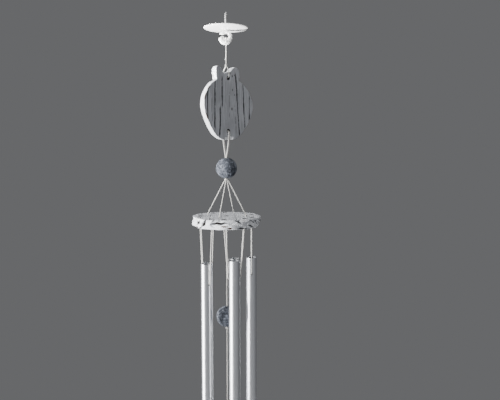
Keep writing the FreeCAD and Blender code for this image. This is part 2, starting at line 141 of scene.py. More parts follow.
def smoothLine(points, closed=False):
    # The route's own smooth line, as points along it.
    curve = bpy.data.curves.new("route", "CURVE")
    curve.dimensions = "3D"
    spline = curve.splines.new("NURBS")
    spline.points.add(len(points) - 1)
    for knot, point in zip(spline.points, points):
        knot.co = (*point, 1)
    spline.order_u = 3
    spline.resolution_u = 24
    if closed:
        spline.use_cyclic_u = True
    else:
        spline.use_endpoint_u = True
    route = bpy.data.objects.new("route", curve)
    scene.collection.objects.link(route)
    line = bpy.data.meshes.new_from_object(route)
    found = np.array([vertex.co for vertex in line.vertices])
    bpy.data.objects.remove(route)
    if closed:
        found = np.vstack([found, found[:1]])
    return found


def evenly(line, step):
    lengths = np.concatenate([[0], np.cumsum(np.linalg.norm(np.diff(line, axis=0), axis=1))])
    places = np.linspace(0, lengths[-1], max(4, round(lengths[-1] / step)))
    return np.stack([np.interp(places, lengths, line[:, axis]) for axis in range(3)], axis=1), places


def twist(lines, width, closed=False):
    # One mesh of three-ply twist along each of these lines, with where each point lies in the twist.
    corners, faces, lie, crease = [], [], [], []
    sides = cordMake["sides"]
    around = np.linspace(0, 2 * math.pi, sides, endpoint=False)
    lobe = np.abs(np.cos(cordMake["plies"] / 2 * around)) ** 0.6
    reach = width / 2 * (1 - cordMake["crease"] + cordMake["crease"] * lobe)
    for line in lines:
        centres, places = evenly(np.array(line), cordMake["step"])
        ahead = np.gradient(centres, axis=0)
        ahead /= np.linalg.norm(ahead, axis=1)[:, None]
        side = np.cross(ahead[0], (0.3, 0.9, 0.2))
        start = len(corners)
        for centre, forward, place in zip(centres, ahead, places):
            side = side - forward * (side @ forward)
            side /= np.linalg.norm(side)
            up = np.cross(forward, side)
            turn = around + 2 * math.pi * place / cordMake["layLength"]
            corners.extend(centre + (reach * np.cos(turn))[:, None] * side + (reach * np.sin(turn))[:, None] * up)
            lie.extend(zip(np.cos(around), np.sin(around), np.full(sides, place / width)))
            crease.extend(1 - lobe)
        faces += bands(start, len(centres), sides, closed)
        if not closed:
            faces += [ringFace(start, 0, sides)[::-1], ringFace(start, len(centres) - 1, sides)]
    mesh = meshOf("twist", corners, faces)
    lie, crease = np.array(lie, np.float32), np.array(crease, np.float32)
    mesh.attributes.new("lie", "FLOAT_VECTOR", "POINT").data.foreach_set("vector", lie.ravel())
    mesh.attributes.new("crease", "FLOAT", "POINT").data.foreach_set("value", crease)
    mesh.shade_smooth()
    return mesh


def makeCord(name, body, points, place=Matrix()):
    points = [place @ Vector((x * mm, y * mm, z * mm)) for x, y, z in points]
    line = smoothLine(points)
    piece = show(name + "Twist", twist([line], cordMake["width"]), body, "cord", name)
    centres, _ = evenly(line, cordMake["step"])
    return piece, points[0], centres


# A knot drawn up tight: a closed three-crossing loop of the same cord, each one turned a little more.
knotMake = {"points": 15, "turn": 0.9}


def makeKnots(name, body, spots, width, tall):
    reach, rise = (width - cordMake["width"] / mm) / 2, (tall - cordMake["width"] / mm) / 2
    loop = [
        Vector((
            reach * (math.sin(t) + 2 * math.sin(2 * t)) / 3,
            reach * (math.cos(t) - 2 * math.cos(2 * t)) / 3,
            -rise * math.sin(3 * t),
        ))
        for t in (2 * math.pi * k / knotMake["points"] for k in range(knotMake["points"]))
    ]
    lines = []
    for number, spot in enumerate(spots):
        turn = Matrix.Rotation(knotMake["turn"] * number, 3, "Z")
        lines.append(smoothLine([(turn @ point + Vector(spot)) * mm for point in loop], closed=True))
    return show(name + "Turns", twist(lines, cordMake["width"], closed=True), body, "cord", name)


hookTurn = Matrix.Rotation(math.radians(-36), 4, "Z")
hangerUpper = makeCord("hanger_cord_upper", "hanger", [
    (0, -0.9, -52.7), (0, -4.63, -23.2), (0, -5.77, -14.25), (0, 5.77, -14.25), (0, 4.63, -23.2), (0, 0.9, -52.7),
], hookTurn)
hangerLower = makeCord("hanger_cord_lower", "hanger", [
    (0, -0.9, -54.5), (0, -7.25, -60.9), (0, -7.55, -71.4), (0, 7.55, -71.4), (0, 7.25, -60.9), (0, 0.9, -54.5),
])
hangerKnot = makeKnots("hanger_knot", "hanger", [(0, 0, -53.6)], 4.2, 5.0)

# Suspension cords: up from under the crown, through the bead and the plaque's lower hole, and back.
suspensionLeft = makeCord("suspension_cord_1", "crown", [
    (-25.68, -17.0, -286.97), (-25.68, -17.0, -270.75), (-23.29, -15.44, -265.48), (-4.44, -3.18, -223.91),
    (-0.85, -0.85, -216.4), (-0.85, -0.85, -207), (-0.85, -0.85, -195), (-0.85, -0.85, -185.6),
    (-0.84, -2.94, -177.3), (-0.8, -6.85, -161), (-0.8, -7.55, -146.2), (-0.8, 7.55, -146.2), (-0.8, 6.85, -161),
    (-0.84, 2.94, -177.3), (-0.85, 0.85, -185.6), (-0.85, 0.85, -195), (-0.85, 0.85, -207), (-0.85, 0.85, -216.4),
    (-3.18, 4.44, -223.91), (-15.44, 23.29, -265.48), (-17.0, 25.68, -270.75), (-17.0, 25.68, -286.97),
])
suspensionRight = makeCord("suspension_cord_2", "crown", [
    (17.0, -25.68, -286.97), (17.0, -25.68, -270.75), (15.44, -23.29, -265.48), (3.18, -4.44, -223.91),
    (0.85, -0.85, -216.4), (0.85, -0.85, -207), (0.85, -0.85, -195), (0.85, -0.85, -185.6), (0.84, -2.94, -177.3),
    (0.8, -6.85, -161), (0.8, -7.55, -146.2), (0.8, 7.55, -146.2), (0.8, 6.85, -161),
    (0.84, 2.94, -177.3), (0.85, 0.85, -185.6), (0.85, 0.85, -195), (0.85, 0.85, -207), (0.85, 0.85, -216.4),
    (4.44, 3.18, -223.91), (23.29, 15.44, -265.48), (25.68, 17.0, -270.75), (25.68, 17.0, -286.97),
])
underKnots = makeKnots("suspension_knots", "crown", [
    (-25.68, -17.0, -287), (17.0, -25.68, -287), (25.68, 17.0, -287), (-17.0, 25.68, -287)], 4.2, 4.2)
beadKnot = makeKnots("bead_knot", "crown", [(0, 0, -217.5)], 6.2, 3.6)

# Tubes: turn round the ring, how far the tube's end is below the crown, and how far its cord hole is below that.
ringRadius, crownFoot = 36.73, -285.5
strandOut, sunkAt = 15.2, -275.3  # the strands' holes in the crown: how far to each side, and their knots' height
tubeHang = {1: (-91, 53.1, 30), 2: (-19, 46.3, 27), 3: (53, 48.4, 24), 4: (125, 57.6, 25), 5: (197, 61.5, 31)}
for number, (turn, below, holeIn) in tubeHang.items():
    place = Matrix.Translation(turned(turn) * ringRadius * mm) @ Matrix.Rotation(math.radians(turn), 4, "Z")
    hole = crownFoot - below - holeIn
    makeCord(f"tube_cord_{number}", f"tube_cord_{number}", [
        (-strandOut, 0, crownFoot + 1.2), (-9.95, 0, hole + 8.6), (-10, 0, hole - 0.8),
        (10, 0, hole - 0.8), (9.95, 0, hole + 8.6), (strandOut, 0, crownFoot + 1.2),
    ], place)

clapperCord = makeCord("clapper_cord", "clapper", [
    (0, 0, -288.05), (0.1, 0, -297), (-0.1, 0.1, -400), (0, 0, -441.98)])
sailCord = makeCord("sail_cord", "sail_line", [
    (0, 0, -444.43), (0.1, 0.1, -453), (-0.15, 0, -600), (0, 0, -742), (0, 0, -751)])
sailLoop = makeCord("sail_loop", "sail_line", [
    (0, -0.9, -751), (0, -5.5, -755.6), (0, -5.6, -764.9), (0, 5.6, -764.9), (0, 5.5, -755.6), (0, 0.9, -751)])
makeKnots("clapper_top_knot", "clapper_swivel", [(0, 0, -286.1)], 3.6, 3.6)
clapperKnot = makeKnots("clapper_knot", "clapper", [(0, 0, -442)], 4.6, 4.6)
sailKnot = makeKnots("sail_knot", "sail_line", [(0, 0, -751)], 4.0, 4.0)


# The knots sunk in the crown's top, one for each tube strand and one for the clapper line.
def sunkSpots():
    spots = []
    for turn, _, _ in tubeHang.values():
        out, along = turned(turn) * ringRadius, turned(turn + 90) * strandOut
        spots += [tuple(out - along), tuple(out + along)]
    return [(x, y, sunkAt) for x, y, _ in spots]


tubeCordKnots = makeKnots("tube_cord_knots", "crown", sunkSpots(), 3.8, 3.6)
clapperAnchor = makeKnots("clapper_anchor", "crown", [(0, 0, sunkAt)], 3.8, 3.6)
print("cords and knots laid")


# Finishes
class Value:
    # One output in a node tree, so that sums on it are written as plain expressions.
    def __init__(self, nodes, socket):
        self.nodes = nodes
        self.socket = socket

    def sum(self, operation, first, second):
        return self.nodes.add("Math", {"operation": operation}, {0: first, 1: second})

    def __add__(self, other):
        return self.sum("ADD", self, other)

    def __radd__(self, other):
        return self.sum("ADD", other, self)

    def __sub__(self, other):
        return self.sum("SUBTRACT", self, other)

    def __rsub__(self, other):
        return self.sum("SUBTRACT", other, self)

    def __mul__(self, other):
        return self.sum("MULTIPLY", self, other)

    def __rmul__(self, other):
        return self.sum("MULTIPLY", other, self)


class Nodes:
    # The node tree of one material, or of the room.
    def __init__(self, owner):
        owner.use_nodes = True
        self.tree = owner.node_tree

    def set(self, socket, value):
        if isinstance(value, Value):
            self.tree.links.new(value.socket, socket)
        elif isinstance(value, tuple) and socket.type == "RGBA":
            socket.default_value = (*value[:3], 1)
        else:
            socket.default_value = value

    def add(self, kind, settings, sockets, out=0):
        node = self.tree.nodes.new("ShaderNode" + kind)
        for setting, value in settings.items():
            setattr(node, setting, value)
        for socket, value in sockets.items():
            self.set(node.inputs[socket], value)
        return Value(self, node.outputs[out])

    def place(self, scale=(1, 1, 1), turn=(0, 0, 0)):
        here = self.add("TexCoord", {}, {}, "Object")
        return self.add("Mapping", {}, {"Vector": here, "Scale": scale, "Rotation": turn})

    def carved(self, name, out="Fac"):
        return self.add("Attribute", {"attribute_name": name}, {}, out)

    def cloud(self, place, scale=1.0, detail=4.0, roughness=0.5, warp=0.0):
        return self.add("TexNoise", {}, {"Vector": place, "Scale": scale, "Detail": detail,
                                         "Roughness": roughness, "Distortion": warp})

    def above(self, value, low, high):
        # 0 under low, 1 over high, and smooth between.
        return self.add("MapRange", {"interpolation_type": "SMOOTHSTEP"},
                        {"Value": value, "From Min": low, "From Max": high})

    def blend(self, share, first, second):
        return self.add("Mix", {"data_type": "RGBA"}, {0: share, 6: first, 7: second}, 2)


class Finish(Nodes):
    def __init__(self, name, **fixed):
        self.material = bpy.data.materials.new(name)
        super().__init__(self.material)
        self.shader = self.tree.nodes["Principled BSDF"]
        self.paint(**fixed)

    def relief(self, height, distance, strength=1.0):
        self.set(self.shader.inputs["Normal"], self.add("Bump", {}, {
            "Height": height, "Distance": distance, "Strength": strength}, "Normal"))

    def paint(self, **sockets):
        for socket, value in sockets.items():
            self.set(self.shader.inputs[socket.replace("_", " ")], value)


# Waxed twist cord, off-white, with painted shade down between its plies; the knots down in their holes get darker
# tones as painted shade.
cordTones = {"pale": (0.80, 0.79, 0.755), "worn": (0.68, 0.67, 0.63), "crease": (0.42, 0.40, 0.365)}
# painted shade: the knots sunk in the crown's holes get these much darker tones
sunkShadeTones = {"pale": (0.20, 0.18, 0.15), "worn": (0.12, 0.10, 0.08), "crease": (0.03, 0.025, 0.02)}


def cordFinish(name, tones):
    finish = Finish(name, Sheen_Weight=0.25, Specular_IOR_Level=0.35)
    lie = finish.carved("lie", "Vector")
    fibres = finish.cloud(finish.add("Mapping", {}, {"Vector": lie, "Scale": (9, 9, 0.8)}), 1.0, 4, 0.6)
    dirt = finish.cloud(finish.place(), 60, 3)
    tone = finish.blend(finish.above(dirt, 0.35, 0.75), tones["pale"], tones["worn"])
    tone = finish.blend(finish.above(fibres, 0.55, 0.8) * 0.4, tone, tones["worn"])
    # painted shade: darker down in the creases between the plies
    tone = finish.blend(finish.carved("crease") * 0.75, tone, tones["crease"])
    finish.paint(Base_Color=tone, Roughness=0.55 + fibres * 0.25)
    finish.relief(fibres, 0.00012, 0.7)
    return finish.material


# Weathered board under a thin white wash: bare grain in the low places; the rim's paler tone is a painted
# highlight.
boardTones = {
    "wash": (0.62, 0.635, 0.665),
    "thinWash": (0.49, 0.50, 0.525),
    "grainLine": (0.16, 0.16, 0.165),
    "rimPaintedHighlight": (0.86, 0.875, 0.90),
    "rimGrey": (0.56, 0.575, 0.61),
    "bareWood": (0.085, 0.048, 0.030),
    "burntWood": (0.045, 0.025, 0.016),
    "darkCrackAndShade": (0.012, 0.010, 0.009),
}


def boardFinish(name, grainTurn, lineShare, rimWorn):
    finish = Finish(name, Specular_IOR_Level=0.2)
    grain = finish.cloud(finish.place((620, 620, 16), grainTurn), 1.0, 6, 0.62, 0.6)
    fineGrain = finish.cloud(finish.place((2300, 2300, 60), grainTurn), 1.0, 3, 0.6)
    patches = finish.cloud(finish.place((90, 90, 26), grainTurn), 1.0, 5, 0.65, 0.8)
    groove, rim, arris, bare = (finish.carved(mark) for mark in ("groove", "rim", "arris", "bare"))

    face = finish.blend(finish.above(patches, 0.36, 0.66), boardTones["thinWash"], boardTones["wash"])
    lines = 1 - finish.above(grain, 0.3, 0.46)
    face = finish.blend(lines * lineShare, face, boardTones["grainLine"])
    face = finish.blend((1 - finish.above(fineGrain, 0.3, 0.5)) * 0.3, face, boardTones["grainLine"])

    chips = finish.cloud(finish.place(), 170, 5, 0.6, 0.5)
    # painted highlight: the rim is painted much paler than the face, broken by a greyer rim tone
    edge = finish.blend(finish.above(chips, 0.5, 0.74), boardTones["rimPaintedHighlight"], boardTones["rimGrey"])
    specks = finish.above(finish.cloud(finish.place(), 420, 4, 0.7), 0.68, 0.73)
    edge = finish.blend(specks * 0.8, edge, boardTones["burntWood"])
    worn = finish.above(finish.cloud(finish.place(), 75, 4, 0.6), 0.62, 0.69)
    edge = finish.blend(worn * rimWorn, edge, boardTones["bareWood"])

    tone = finish.blend(rim, face, edge)
    tone = finish.blend(arris * finish.above(chips, 0.53, 0.62) * 0.8, tone, boardTones["bareWood"])
    stripped = finish.blend(finish.above(chips, 0.42, 0.6), boardTones["bareWood"], boardTones["burntWood"])
    ragged = finish.cloud(finish.place(), 520, 5, 0.7)
    tone = finish.blend(finish.above(bare + ragged * 1.3, 1.08, 1.2), tone, stripped)
    # near-black in the cracks, plus painted shade down the holes and round the bores' mouths
    tone = finish.blend(groove, tone, boardTones["darkCrackAndShade"])
    finish.paint(Base_Color=tone, Roughness=0.78 + grain * 0.15)
    finish.relief(grain * (1 - rim * 0.6) + fineGrain * 0.4 + chips * 0.5, 0.00035, 0.8)
    return finish.material


# Mottled balls: slate grey with a pale powdery wash and dark specks, and painted shade in the carved pits and down
# the bore.
ballTones = {
    "slate": (0.035, 0.040, 0.052),
    "grey": (0.105, 0.115, 0.14),
    "powder": (0.29, 0.315, 0.37),
    "pit": (0.012, 0.012, 0.014),
}


def ballFinish():
    finish = Finish("mottledBall", Specular_IOR_Level=0.3)
    broad = finish.cloud(finish.place(), 210, 6, 0.7, 0.25)
    spots = finish.cloud(finish.place(), 560, 5, 0.65, 0.2)
    tone = finish.blend(finish.above(broad, 0.36, 0.56), ballTones["slate"], ballTones["grey"])
    tone = finish.blend(finish.above(broad * 0.6 + spots * 0.4, 0.49, 0.62), tone, ballTones["powder"])
    # painted shade: the carved pits and the bore's walls are darkened towards the pit tone; the other dark specks
    # are random
    pits = finish.carved("pit")
    tone = finish.blend(finish.above(spots, 0.6, 0.7) * 0.55 + pits * 0.4, tone, ballTones["pit"])
    finish.paint(Base_Color=tone, Roughness=0.62 + spots * 0.3)
    finish.relief(spots + broad * 0.5, 0.0004, 0.8)
    return finish.material


# Drawn and polished aluminium tube: faint lines along it and a few dull patches.
tubeTones = {"bright": (0.80, 0.81, 0.83), "drawn": (0.70, 0.715, 0.74), "dull": (0.62, 0.635, 0.66)}


def tubeFinish():
    finish = Finish("polishedTube", Metallic=1.0)
    drawn = finish.cloud(finish.place((2600, 2600, 5)), 1.0, 3, 0.6)
    dull = finish.cloud(finish.place((60, 60, 14)), 1.0, 4, 0.6, 0.4)
    tone = finish.blend(finish.above(drawn, 0.35, 0.7), tubeTones["bright"], tubeTones["drawn"])
    tone = finish.blend(finish.above(dull, 0.5, 0.8) * 0.5, tone, tubeTones["dull"])
    finish.paint(Base_Color=tone, Roughness=0.29 + drawn * 0.06 + finish.above(dull, 0.45, 0.8) * 0.1)
    finish.relief(drawn, 0.000004, 0.3)
    return finish.material


def paintFinish(name, tone, dusty, roughness):
    finish = Finish(name, Coat_Roughness=0.12, Coat_Weight=0.35)
    dust = finish.cloud(finish.place(), 90, 3, 0.5)
    skin = finish.cloud(finish.place(), 500, 2, 0.5)
    tone = finish.blend(finish.above(dust, 0.45, 0.75) * 0.6, tone, dusty)
    finish.paint(Base_Color=tone, Roughness=roughness + dust * 0.15)
    finish.relief(skin, 0.00001, 0.3)
    return finish.material


zincTones = {"clean": (0.66, 0.665, 0.66), "stained": (0.47, 0.465, 0.45)}


def zincFinish():
    finish = Finish("zincScrew", Metallic=1.0)
    stain = finish.cloud(finish.place(), 380, 5, 0.6)
    tone = finish.blend(finish.above(stain, 0.4, 0.7), zincTones["clean"], zincTones["stained"])
    finish.paint(Base_Color=tone, Roughness=0.28 + stain * 0.25)
    finish.relief(stain, 0.00005, 0.5)
    return finish.material


def wear(material, *pieces):
    for piece in pieces:
        piece.data.materials.clear()
        piece.data.materials.append(material)


finishes = {
    "cord": cordFinish("waxedCord", cordTones),
    "sunkCord": cordFinish("shadedSunkCord", sunkShadeTones),
    "plaque": boardFinish("washedPlaque", (0, 0, 0), 0.45, 0.3),
    "crown": boardFinish("washedCrown", (math.radians(90), 0, math.radians(-50)), 0.35, 0.45),
    "ball": ballFinish(),
    "tube": tubeFinish(),
    "plate": paintFinish("platePaint", (0.86, 0.86, 0.85), (0.76, 0.76, 0.74), 0.22),
    "hook": paintFinish("hookPaint", (0.87, 0.87, 0.85), (0.78, 0.78, 0.75), 0.26),
    "zinc": zincFinish(),
}
wear(finishes["cord"], *[piece for piece in scene.objects if piece.name.endswith(("Twist", "Turns"))])
# painted shade on the sunk knots
wear(finishes["sunkCord"], tubeCordKnots, clapperAnchor)
print("finishes mixed")


# Cover plate: spun with a soft shoulder and a small rolled edge (distance out, height; mm).
plateShape = {
    "profile": [(3.45, -3.3), (3.9, -3.72), (8, -3.74), (14, -3.62), (20, -3.32), (25, -2.84), (28.4, -2.28),
                (30.4, -1.7), (31.4, -1.18), (31.85, -0.75), (31.95, -0.38), (31.8, -0.08), (31.4, 0), (22, 0),
                (12, 0), (3.45, 0)],
    "steps": 160,
}


def spin(profile, steps):
    corners = []
    for step in range(steps):
        angle = 2 * math.pi * step / steps
        corners.extend((out * math.cos(angle) * mm, out * math.sin(angle) * mm, up * mm) for out, up in profile)
    mesh = meshOf("spun", corners, bands(0, steps, len(profile), closed=True))
    mesh.shade_smooth()
    return mesh


def settle(piece):
    # The piece's mesh with its modifiers built in.
    mesh = bpy.data.meshes.new_from_object(piece.evaluated_get(bpy.context.evaluated_depsgraph_get()))
    piece.modifiers.clear()
    piece.data = mesh
    mesh.shade_smooth()
    return mesh


plate = show("coverPlate", spin(**plateShape), "ceiling_mount", "plate_white", "ceiling_plate")
crisp = plate.modifiers.new("crisp", "SUBSURF")
crisp.levels = crisp.render_levels = 1
settle(plate)
wear(finishes["plate"], plate)

# Hook: a thick open ring round an eye, on a short neck. Its own X runs across the ring.
hookShape = {
    "ringMiddle": (-0.8, -14.5), "ringReach": 10.1, "eyeMiddle": (0, -12.2), "eyeReach": 3.1,
    "thick": 7.5, "from": 193.0, "to": 528.0, "lean": 30.0, "sections": 110, "sides": 28,
    "tuckOver": 3, "tip": 0.1,  # the sections over which each end draws in, and how small it ends
    "neck": [(0, -7.2), (3.06, -7.2), (3.4, -5), (3.4, -0.05), (0, -0.05)], "neckSides": 24, "grain": 0.32 * mm,
}


def hookMesh():
    shape = hookShape
    corners = []
    ringX, ringZ = shape["ringMiddle"]
    eyeX, eyeZ = shape["eyeMiddle"]
    sides, sections, neckSides = shape["sides"], shape["sections"], shape["neckSides"]
    for step in range(sections):
        share = step / (sections - 1)
        outer = math.radians(shape["from"] + (shape["to"] - shape["from"]) * share)
        inner = outer - math.radians(shape["lean"]) * abs(2 * share - 1) ** 5
        near = Vector((eyeX + shape["eyeReach"] * math.cos(inner), 0, eyeZ + shape["eyeReach"] * math.sin(inner)))
        out = Vector((math.cos(outer), 0, math.sin(outer)))
        offset = Vector((eyeX - ringX, 0, eyeZ - ringZ))
        along = -offset.dot(out) + math.sqrt(offset.dot(out) ** 2 - offset.length_squared + shape["ringReach"] ** 2)
        far = Vector((eyeX, 0, eyeZ)) + out * along
        middle, half = (near + far) / 2, (far - near) / 2
        ends = min(step, sections - 1 - step)
        drawnIn = 1 - min(ends, shape["tuckOver"]) / shape["tuckOver"]
        tuck = math.sqrt(1 - drawnIn**2) * (1 - shape["tip"]) + shape["tip"]
        for side in range(sides):
            angle = 2 * math.pi * side / sides
            deep = Vector((0, shape["thick"] / 2 * math.sin(angle), 0))
            corners.append((middle + (half * math.cos(angle) + deep) * tuck) * mm)
    faces = bands(0, sections, sides) + [ringFace(0, 0, sides)[::-1], ringFace(0, sections - 1, sides)]
    faces += bands(len(corners), len(shape["neck"]), neckSides)
    for out, up in shape["neck"]:
        for k in range(neckSides):
            angle = 2 * math.pi * k / neckSides
            corners.append(Vector((out * math.cos(angle), out * math.sin(angle), up)) * mm)
    return meshOf("hook", corners, faces)


# The screw that holds the hook up: core, thread and point.
screwShape = {
    "long": 22.0, "core": 1.75, "crest": 2.48, "pitch": 2.4, "plain": 3.0, "point": 4.5,
    "runIn": 1.5, "flank": 0.2, "plainShare": 0.92, "tip": 0.06, "sides": 48, "rings": 260,
}


def screwMesh():
    shape = screwShape
    sides, rings = shape["sides"], shape["rings"]
    corners = []
    for ring in range(rings):
        up = shape["long"] * ring / (rings - 1)
        toPoint = min(1, (shape["long"] - up) / shape["point"])
        fromPlain = min(1, max(0, (up - shape["plain"]) / shape["runIn"]))
        taper = shape["tip"] + (1 - shape["tip"]) * toPoint**0.7
        body = shape["core"] if up > shape["plain"] else shape["crest"] * shape["plainShare"]
        for k in range(sides):
            angle = 2 * math.pi * k / sides
            phase = (up / shape["pitch"] - k / sides) % 1
            ridge = max(0, 1 - abs(phase - 0.5) / shape["flank"]) ** 0.8 * fromPlain
            out = (body + (shape["crest"] - shape["core"]) * ridge) * taper
            corners.append((out * math.cos(angle) * mm, out * math.sin(angle) * mm, up * mm))
    mesh = meshOf("screw", corners, bands(0, rings, sides) + [ringFace(0, rings - 1, sides)])
    mesh.shade_smooth()
    return mesh


mesh = hookMesh()
mesh.transform(hookTurn)
hook = show("ceilingHook", mesh, "ceiling_mount", "hook_white", "ceiling_hook")
blended = hook.modifiers.new("oneSkin", "REMESH")
blended.mode, blended.voxel_size = "VOXEL", hookShape["grain"]
eased = hook.modifiers.new("eased", "SMOOTH")
eased.iterations = 5
settle(hook)
wear(finishes["hook"], hook)
screw = show("hookScrew", screwMesh(), "ceiling_mount", "hook_white")
wear(finishes["zinc"], screw)
print("plate and hook made")


# Carving. A board starts as an even fine mesh of its solid, and its points are then cut back.
def evenBoard(name, node, body, slot, grain):
    piece = show(name, nodes[node].data.copy(), body, slot, node)
    remesh = piece.modifiers.new("even", "REMESH")
    remesh.mode, remesh.voxel_size = "VOXEL", grain
    mesh = settle(piece)
    points = np.zeros(len(mesh.vertices) * 3)
    mesh.vertices.foreach_get("co", points)
    normals = np.array([normal.vector for normal in mesh.vertex_normals])
    return piece, points.reshape(-1, 3) / mm, normals


def finishBoard(piece, points, **marks):
    mesh = piece.data
    mesh.vertices.foreach_set("co", (points * mm).ravel())
    for mark, values in marks.items():
        values = np.clip(values, 0, 1).astype(np.float32)
        mesh.attributes.new(mark, "FLOAT", "POINT").data.foreach_set("value", values)
    mesh.update()


def wander(seed, *axes):
    # A smooth wandering value between about -1 and 1, the same on every run.
    chance = random.Random(seed)
    total = 0
    for octave in range(4):
        slant = sum(axis * chance.uniform(0.6, 1.5) * chance.choice((-1, 1)) * 1.9**octave for axis in axes)
        total = total + np.sin(slant + chance.uniform(0, 6.28)) / 1.6**octave
    return total / 2


def smoothStep(value, low, high):
    share = np.clip((value - low) / (high - low), 0, 1)
    return share * share * (3 - 2 * share)


def arrisOf(facing):
    # 1 on the corner between a face and its edge.
    slope = np.abs(facing)
    return smoothStep(slope, 0.2, 0.5) * (1 - smoothStep(slope, 0.75, 0.98))


def hewn(seed, along, through, girth, chipLong, chipTall, tilt, deepest):
    # How far each point of a rim is cut back: every chip is a small flat with a slope of its own.
    chance = random.Random(seed)
    count = round(girth / chipLong) * 3
    best, depth = np.full(len(along), 1e9), np.zeros(len(along))
    for _ in range(count):
        where, level = chance.uniform(0, girth), chance.uniform(-1.1, 1.1) * chipTall
        slopeAlong, slopeUp = chance.gauss(0, tilt), chance.gauss(0, tilt * 1.6)
        base = chance.uniform(0.1, 0.55) * deepest
        aside = (along - where + girth / 2) % girth - girth / 2
        rise = through - level
        gap = (aside / chipLong) ** 2 + (rise / chipTall) ** 2
        nearer = gap < best
        best[nearer] = gap[nearer]
        depth[nearer] = (base + slopeAlong * aside + slopeUp * rise)[nearer]
    return np.clip(depth, 0, deepest)


def cutGrooves(grooves, across, up, seed):
    # Cracks that run with the grain: (across at the top, across at the foot, wide, deep, foot, top).
    depth, dark = np.zeros(len(across)), np.zeros(len(across))
    for number, (topAcross, footAcross, wide, deep, foot, top) in enumerate(grooves):
        middle = footAcross + (topAcross - footAcross) * up + wander(seed + number, up * 7) * 0.55
        swell = 0.75 + 0.3 * wander(seed + 40 + number, up * 11)
        near = np.clip(1 - np.abs(across - middle) / (wide / 2 * swell), 0, 1)
        fade = smoothStep(up, foot - 0.02, foot + 0.05) * (1 - smoothStep(up, top - 0.05, top + 0.02))
        depth = np.maximum(depth, deep * near**0.7 * fade)
        dark = np.maximum(dark, smoothStep(near, 0.1, 0.45) * fade)
    return depth, dark


# Plaque: cracks down its front and back, a few small knots, a hewn edge and a chip at its foot.
# Cracks: across at the top and the foot, width, depth (mm), and the shares of its height they span.
# Small knots: across (mm), share of the height, width (mm).
plaqueShape = {
    "grain": 0.5 * mm,
    "middle": 0.46, "outwards": 44,  # what the edge goes round: share of the height, and how far out it is (mm)
    "holeClear": 4.2, "mouth": 3.1, "fade": 5.5,
    "holes": [(0, -71.5), (0, -147)],
    "front": [(-35.9, -35.4, 2.7, 1.4, 0.24, 0.70), (-22.7, -23.4, 2.8, 1.5, 0.14, 0.82),
              (-10.0, -11.2, 2.8, 1.7, 0.44, 0.86), (-11.0, -15.4, 3.5, 1.9, 0.04, 0.46),
              (12.5, 21.0, 3.0, 1.7, 0.03, 0.93), (25.3, 31.6, 2.5, 1.4, 0.14, 0.80),
              (38.8, 39.4, 2.6, 1.5, 0.25, 0.63), (39.4, 38.6, 3.0, 1.7, 0.20, 0.36),
              (3.0, 1.2, 0.9, 0.3, 0.3, 0.66), (9.5, 14.5, 0.8, 0.25, 0.1, 0.5),
              (-29.0, -28.2, 0.8, 0.25, 0.2, 0.6)],
    "back": [(-30, -33, 1.5, 0.9, 0.2, 0.7), (-12, -17, 1.9, 1.2, 0.05, 0.82), (4, 2.5, 1.2, 0.7, 0.3, 0.86),
             (19, 25, 1.8, 1.1, 0.08, 0.85), (36, 38, 1.4, 0.8, 0.2, 0.66)],
    "smallKnots": [(7.6, 0.685, 1.2), (11.2, 0.618, 1.0), (6.6, 0.426, 1.7), (7.4, 0.872, 1.3),
                   (11.3, 0.885, 1.0), (3.6, 0.905, 1.1)],
    "edge": {"chipLong": 12, "chipTall": 8, "tilt": 0.02, "deepest": 0.5},
    "worn": {"from": 0.35, "spread": 0.25, "reach": 1.6},
    "footChip": {"across": 1.0, "half": 7.5, "deep": 4.2, "tall": 6.5},
    # stripped patches on the left corner: share of the height, half length (mm)
    "stripped": [(0.585, 6.5), (0.33, 6.0), (0.70, 2.5)],
    "strippedWide": 1.9, "strippedFrom": -15,
}


def edgeNeighbours(points, isEdge):
    # For every point, the nearest point of the edge band and how far away it is.
    band = np.flatnonzero(isEdge)
    tree = KDTree(len(band))
    for index in band:
        tree.insert(points[index], int(index))
    tree.balance()
    nearest, gap = np.arange(len(points)), np.zeros(len(points))
    for index in np.flatnonzero(~isEdge):
        _, nearest[index], gap[index] = tree.find(points[index])
    return nearest, gap


